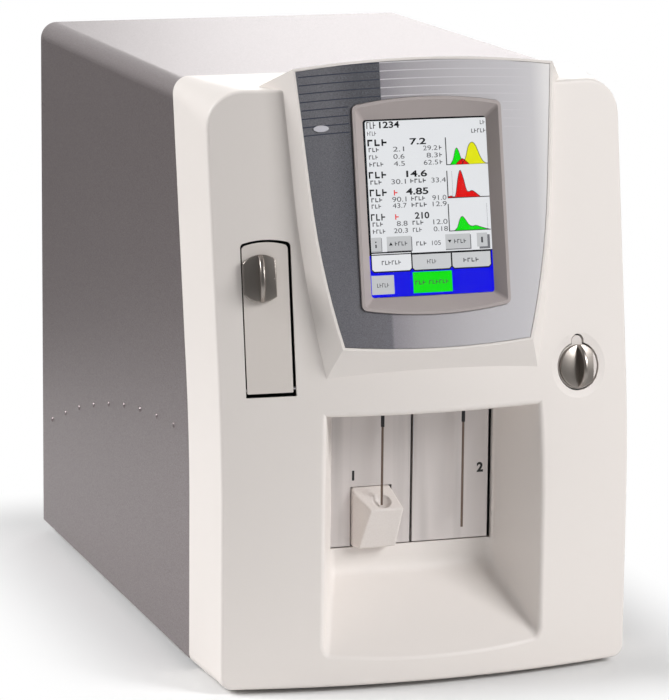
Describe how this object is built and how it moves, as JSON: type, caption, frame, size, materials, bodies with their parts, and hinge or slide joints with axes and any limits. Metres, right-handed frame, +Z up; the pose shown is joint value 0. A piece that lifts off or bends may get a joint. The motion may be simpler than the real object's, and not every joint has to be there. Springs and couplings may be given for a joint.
{
  "type": "hematology analyzer",
  "caption": "Bench-top blood cell counter: deep steel box with a leaning plastic front, touch screen, tube door, pull-out adapter port and an open sample recess with needles.",
  "frame": {"origin": "on the bench, under the middle of the instrument's overall box", "axes": "+X to the right of a person facing the screen, +Y to the rear, +Z up"},
  "size_m": [0.293, 0.494, 0.4143],
  "materials": {
    "front_plastic": "moulded warm off-white plastic, satin",
    "cover_paint": "warm grey speckled metallic powder coat",
    "galvanised": "plain zinc-plated sheet",
    "zinc_screws": "zinc-plated fasteners",
    "foot_rubber": "matt black rubber",
    "knob_metal": "satin metallic grip",
    "start_plate": "satin metallic start plates",
    "white_nylon": "white engineering plastic",
    "black_plastic": "black engineering plastic",
    "needle_steel": "drawn stainless tube",
    "polished_steel": "ground and polished rod",
    "fascia_print": "printed film, dark slate running to lilac silver",
    "bezel_plastic": "satin taupe",
    "screen_glass": "clear touch glass",
    "display": "lit display",
    "lens": "smoked indicator lens",
    "circuit_board": "green board",
    "clear_acrylic": "clear acrylic",
    "valve_ceramic": "white ceramic",
    "spigot_plastic": "grey polymer"
  },
  "bodies": {
    "casing": {"base_chassis": "galvanised", "metal_cover": "cover_paint", "cover_screws": "zinc_screws", "rear_panel": "cover_paint", "feet": "foot_rubber", "front_frame": "galvanised", "front_moulding": "front_plastic", "front_screws": "zinc_screws", "door_hinge_pin": "polished_steel", "door_pocket": "black_plastic", "port_sleeve": "black_plastic", "sampler_frame": "galvanised", "start_switches": "black_plastic", "needle_sheaths": "black_plastic", "guide_rods": "polished_steel", "wash_block": "clear_acrylic", "carriage_motor": "black_plastic", "fascia_panel": "fascia_print", "screen_bezel": "bezel_plastic", "touch_glass": "screen_glass", "lcd_module": "display", "display_bracket": "galvanised", "display_board": "circuit_board", "indicator_lens": "lens", "inner_deck": "galvanised", "counting_block": "clear_acrylic", "mixing_cups": "clear_acrylic", "sampling_valve": "valve_ceramic", "valve_motor": "black_plastic", "diluter_body": "clear_acrylic", "pump_housing": "white_nylon", "solenoid_valves": "black_plastic", "vacuum_pump": "black_plastic", "main_board": "circuit_board", "power_supply": "galvanised", "fan_frame": "black_plastic", "fan_guard": "polished_steel", "fan_screws": "zinc_screws", "power_inlet": "black_plastic", "switch_body": "black_plastic", "data_ports": "zinc_screws", "reagent_ports": "spigot_plastic"},
    "tube_door": {"tube_door": "front_plastic", "tube_cradle": "black_plastic"},
    "door_knob": {"door_knob": "knob_metal", "catch_cam": "galvanised"},
    "adapter": {"adapter_body": "white_nylon", "adapter_knob": "knob_metal"},
    "plate_left": {"start_plate_left": "start_plate"},
    "plate_right": {"start_plate_right": "start_plate"},
    "tube_block": {"tube_block": "white_nylon"},
    "carriage": {"needle_carriage": "knob_metal", "needles": "needle_steel"},
    "lead_screw": {"lead_screw": "polished_steel"},
    "fan_rotor": {"fan_rotor": "black_plastic"},
    "rocker": {"rocker_switch": "black_plastic"},
    "fuse_drawer": {"fuse_drawer": "black_plastic"},
    "pump_rotor": {"pump_rotor": "black_plastic"},
    "valve_rotor": {"valve_rotor": "valve_ceramic"},
    "diluter_pistons": {"diluter_pistons": "polished_steel"}
  },
  "joints": [
    {"name": "tube_door_hinge", "type": "hinge", "parent": "casing", "child": "tube_door", "pos_m": [-0.10916, -0.22762, 0.20336], "axis": [0.9823, -0.1851, 0.0293], "range_deg": [0, 60]},
    {"name": "door_knob_turn", "type": "hinge", "parent": "tube_door", "child": "door_knob", "pos_m": [-0.11328, -0.21818, 0.27487], "axis": [-0.1874, -0.9702, 0.1537], "range_deg": [-90, 0]},
    {"name": "adapter_pull", "type": "slide", "parent": "casing", "child": "adapter", "axis": [0.1795, -0.9731, 0.1446], "range_m": [0, 0.045]},
    {"name": "plate_left_press", "type": "slide", "parent": "casing", "child": "plate_left", "axis": [0, 1, 0], "range_m": [0, 0.0025], "stiffness_N_per_m": 900, "springref_m": -0.0015},
    {"name": "plate_right_press", "type": "slide", "parent": "casing", "child": "plate_right", "axis": [0, 1, 0], "range_m": [0, 0.0025], "stiffness_N_per_m": 900, "springref_m": -0.0015},
    {"name": "tube_block_press", "type": "slide", "parent": "casing", "child": "tube_block", "axis": [0, 1, 0], "range_m": [0, 0.0025], "stiffness_N_per_m": 900, "springref_m": -0.0015},
    {"name": "carriage_lift", "type": "slide", "parent": "casing", "child": "carriage", "axis": [0, 0, 1], "range_m": [0, 0.05]},
    {"name": "lead_screw_turn", "type": "hinge", "parent": "casing", "child": "lead_screw", "pos_m": [0.004, -0.188, 0.258], "axis": [0, 0, 1], "range_deg": [-10, 2260]},
    {"name": "fan_spin", "type": "hinge", "parent": "casing", "child": "fan_rotor", "pos_m": [-0.062, 0.216, 0.298], "axis": [0, 1, 0], "continuous": true},
    {"name": "rocker_tilt", "type": "hinge", "parent": "casing", "child": "rocker", "pos_m": [0.058, 0.2296, 0.07], "axis": [1, 0, 0], "range_deg": [-18, 0]},
    {"name": "fuse_drawer_pull", "type": "slide", "parent": "casing", "child": "fuse_drawer", "axis": [0, 1, 0], "range_m": [0, 0.02]},
    {"name": "pump_spin", "type": "hinge", "parent": "casing", "child": "pump_rotor", "pos_m": [0.084, -0.064, 0.108], "axis": [0, 1, 0], "continuous": true},
    {"name": "valve_turn", "type": "hinge", "parent": "casing", "child": "valve_rotor", "pos_m": [0.078, -0.064, 0.27], "axis": [0, 1, 0], "range_deg": [0, 60]},
    {"name": "piston_lift", "type": "slide", "parent": "casing", "child": "diluter_pistons", "axis": [0, 0, 1], "range_m": [0, 0.04]}
  ],
  "couplings": [
    {"joint": "lead_screw_turn", "follows": "carriage_lift", "rad_per_m": 785.4}
  ]
}
